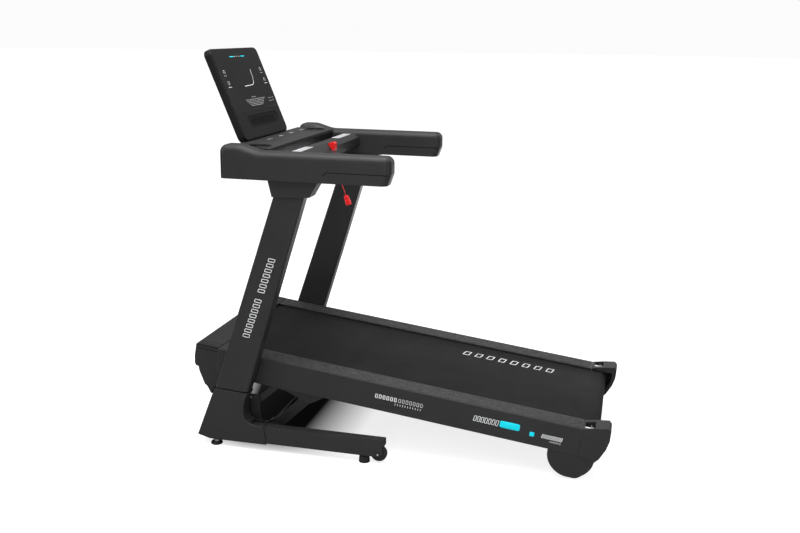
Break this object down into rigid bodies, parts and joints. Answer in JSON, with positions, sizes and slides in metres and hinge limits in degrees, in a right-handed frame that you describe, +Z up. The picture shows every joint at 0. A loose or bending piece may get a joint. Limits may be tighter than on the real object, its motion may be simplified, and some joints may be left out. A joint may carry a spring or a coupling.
{
  "type": "treadmill",
  "caption": "Folding treadmill: inclined running deck on a lift linkage, leaning uprights, side handrails, crossbar with pulse grips, tray and slab console.",
  "frame": {"origin": "middle of the footprint, on the floor", "axes": "+Y towards the console, +X to the right of the runner, +Z up"},
  "size_m": [0.866, 1.5282, 1.4274],
  "materials": {
    "frame_paint": "satin",
    "trim_plastic": "matte",
    "rail_plastic": "matte",
    "foot_rubber": "matte",
    "belt_rubber": "fine woven texture",
    "wheel_plastic": "satin",
    "key_plastic": "satin",
    "screen_glass": "polished",
    "electronics": "satin",
    "red_plastic": "gloss",
    "red_cord": "braided",
    "grip_metal": "satin",
    "steel": "satin",
    "motor_paint": "satin",
    "board_wood": "matte"
  },
  "bodies": {
    "base": {"base_rails": "frame_paint", "rail_end_caps": "trim_plastic", "base_cross_tube": "frame_paint", "rear_pads": "foot_rubber", "boots": "trim_plastic", "uprights": "frame_paint", "upright_collars": "trim_plastic", "handrails": "trim_plastic", "handrail_end_caps": "trim_plastic", "handrail_bars": "frame_paint", "crossbar": "trim_plastic", "pulse_plates": "grip_metal", "tray": "trim_plastic", "cup_holders": "trim_plastic", "key_panel": "trim_plastic", "console_housing": "trim_plastic", "console_glass": "screen_glass", "console_grille": "trim_plastic", "display_module": "electronics", "link_brackets": "frame_paint", "base_bolts": "steel"},
    "front_foot_left": {"front_foot_left": "foot_rubber"},
    "front_foot_right": {"front_foot_right": "foot_rubber"},
    "transport_wheel_left": {"transport_wheel_left": "wheel_plastic"},
    "transport_wheel_right": {"transport_wheel_right": "wheel_plastic"},
    "safety_key": {"safety_key": "red_plastic", "lanyard": "red_cord", "lanyard_clip": "red_plastic"},
    "lift_frame": {"lift_frame": "frame_paint"},
    "cradle": {"cradle": "frame_paint", "cradle_pins": "steel"},
    "incline_links": {"incline_links": "frame_paint"},
    "incline_motor": {"incline_motor": "motor_paint"},
    "incline_screw": {"incline_screw": "steel"},
    "strut_cylinder": {"strut_cylinder": "motor_paint"},
    "strut_rod": {"strut_rod": "steel"},
    "deck": {"deck_frame": "frame_paint", "running_board": "board_wood", "deck_cushions": "foot_rubber", "running_belt": "belt_rubber", "foot_rails": "rail_plastic", "rear_end_caps": "trim_plastic", "wheel_guards": "trim_plastic", "deck_axles": "steel", "hood": "trim_plastic", "belly_pan": "trim_plastic", "drive_motor": "motor_paint", "motor_controller": "electronics", "power_inlet": "trim_plastic", "drive_belt": "foot_rubber"},
    "deck_wheel_left": {"deck_wheel_left": "wheel_plastic"},
    "deck_wheel_right": {"deck_wheel_right": "wheel_plastic"},
    "front_roller": {"front_roller": "steel"},
    "rear_roller": {"rear_roller": "steel"},
    "motor_shaft": {"motor_shaft": "steel"},
    "power_switch": {"power_switch": "trim_plastic"},
    "key_slower": {"key_slower": "key_plastic"},
    "key_stop": {"key_stop": "key_plastic"},
    "key_start": {"key_start": "key_plastic"},
    "key_faster": {"key_faster": "key_plastic"}
  },
  "joints": [
    {"name": "incline", "type": "hinge", "parent": "base", "child": "lift_frame", "pos_m": [0, 0.465, 0.052], "axis": [1, 0, 0], "range_deg": [0, 38.62]},
    {"name": "cradle_pivot", "type": "hinge", "parent": "lift_frame", "child": "cradle", "pos_m": [0, 0.32439, 0.18735], "axis": [1, 0, 0], "range_deg": [-46.02, 0.5]},
    {"name": "link_pivot", "type": "hinge", "parent": "base", "child": "incline_links", "pos_m": [0, 0.53, 0.15], "axis": [1, 0, 0], "range_deg": [-0.5, 44.24]},
    {"name": "incline_motor_pivot", "type": "hinge", "parent": "cradle", "child": "incline_motor", "pos_m": [0, 0.51934, 0.24118], "axis": [1, 0, 0], "range_deg": [-16.59, 0.5]},
    {"name": "incline_screw_slide", "type": "slide", "parent": "incline_motor", "child": "incline_screw", "axis": [0, -0.9652, -0.2615], "range_m": [-0.001, 0.021]},
    {"name": "deck_fold", "type": "hinge", "parent": "cradle", "child": "deck", "pos_m": [0, 0.71172, 0.27456], "axis": [-1, 0, 0], "range_deg": [0, 52]},
    {"name": "strut_pivot", "type": "hinge", "parent": "cradle", "child": "strut_cylinder", "pos_m": [0, 0.51934, 0.24118], "axis": [-1, 0, 0], "range_deg": [-0.5, 65.76]},
    {"name": "strut_slide", "type": "slide", "parent": "strut_cylinder", "child": "strut_rod", "axis": [0, -0.9927, -0.1203], "range_m": [-0.001, 0.08398]},
    {"name": "transport_wheel_left_spin", "type": "hinge", "parent": "base", "child": "transport_wheel_left", "pos_m": [-0.395, 0.036, 0.0385], "axis": [1, 0, 0], "continuous": true},
    {"name": "deck_wheel_left_spin", "type": "hinge", "parent": "deck", "child": "deck_wheel_left", "pos_m": [-0.326, -0.64468, 0.038], "axis": [1, 0, 0], "continuous": true},
    {"name": "front_foot_left_turn", "type": "hinge", "parent": "base", "child": "front_foot_left", "pos_m": [-0.395, 0.662, 0.02], "axis": [0, 0, 1], "continuous": true},
    {"name": "transport_wheel_right_spin", "type": "hinge", "parent": "base", "child": "transport_wheel_right", "pos_m": [0.395, 0.036, 0.0385], "axis": [1, 0, 0], "continuous": true},
    {"name": "deck_wheel_right_spin", "type": "hinge", "parent": "deck", "child": "deck_wheel_right", "pos_m": [0.326, -0.64468, 0.038], "axis": [1, 0, 0], "continuous": true},
    {"name": "front_foot_right_turn", "type": "hinge", "parent": "base", "child": "front_foot_right", "pos_m": [0.395, 0.662, 0.02], "axis": [0, 0, 1], "continuous": true},
    {"name": "motor_spin", "type": "hinge", "parent": "deck", "child": "motor_shaft", "pos_m": [0, 0.65994, 0.22799], "axis": [1, 0, 0], "continuous": true},
    {"name": "front_roller_spin", "type": "hinge", "parent": "deck", "child": "front_roller", "pos_m": [0, 0.68244, 0.325], "axis": [1, 0, 0], "continuous": true},
    {"name": "rear_roller_spin", "type": "hinge", "parent": "deck", "child": "rear_roller", "pos_m": [0, -0.69747, 0.15784], "axis": [1, 0, 0], "continuous": true},
    {"name": "power_switch_rock", "type": "hinge", "parent": "deck", "child": "power_switch", "pos_m": [-0.186, 0.75179, 0.30963], "axis": [1, 0, 0], "range_deg": [0, 12]},
    {"name": "key_slower_press", "type": "slide", "parent": "base", "child": "key_slower", "axis": [0, 0, -1], "range_m": [0, 0.0015], "stiffness_N_per_m": 400, "springref_m": -0.001},
    {"name": "key_stop_press", "type": "slide", "parent": "base", "child": "key_stop", "axis": [0, 0, -1], "range_m": [0, 0.0015], "stiffness_N_per_m": 400, "springref_m": -0.001},
    {"name": "key_start_press", "type": "slide", "parent": "base", "child": "key_start", "axis": [0, 0, -1], "range_m": [0, 0.0015], "stiffness_N_per_m": 400, "springref_m": -0.001},
    {"name": "key_faster_press", "type": "slide", "parent": "base", "child": "key_faster", "axis": [0, 0, -1], "range_m": [0, 0.0015], "stiffness_N_per_m": 400, "springref_m": -0.001},
    {"name": "safety_key_pull", "type": "slide", "parent": "base", "child": "safety_key", "axis": [0, -1, 0], "range_m": [0, 0.03]}
  ],
  "couplings": [
    {"joint": "cradle_pivot", "follows": "incline", "ratio": -1.1789},
    {"joint": "link_pivot", "follows": "incline", "ratio": 1.1328},
    {"joint": "incline_motor_pivot", "follows": "incline", "ratio": -0.41662},
    {"joint": "incline_screw_slide", "follows": "incline", "m_per_rad": 0.029672},
    {"joint": "strut_pivot", "follows": "deck_fold", "ratio": 1.2549},
    {"joint": "strut_slide", "follows": "deck_fold", "m_per_rad": 0.091428},
    {"joint": "front_roller_spin", "follows": "motor_spin", "ratio": 0.5915},
    {"joint": "rear_roller_spin", "follows": "motor_spin", "ratio": 0.5915}
  ]
}
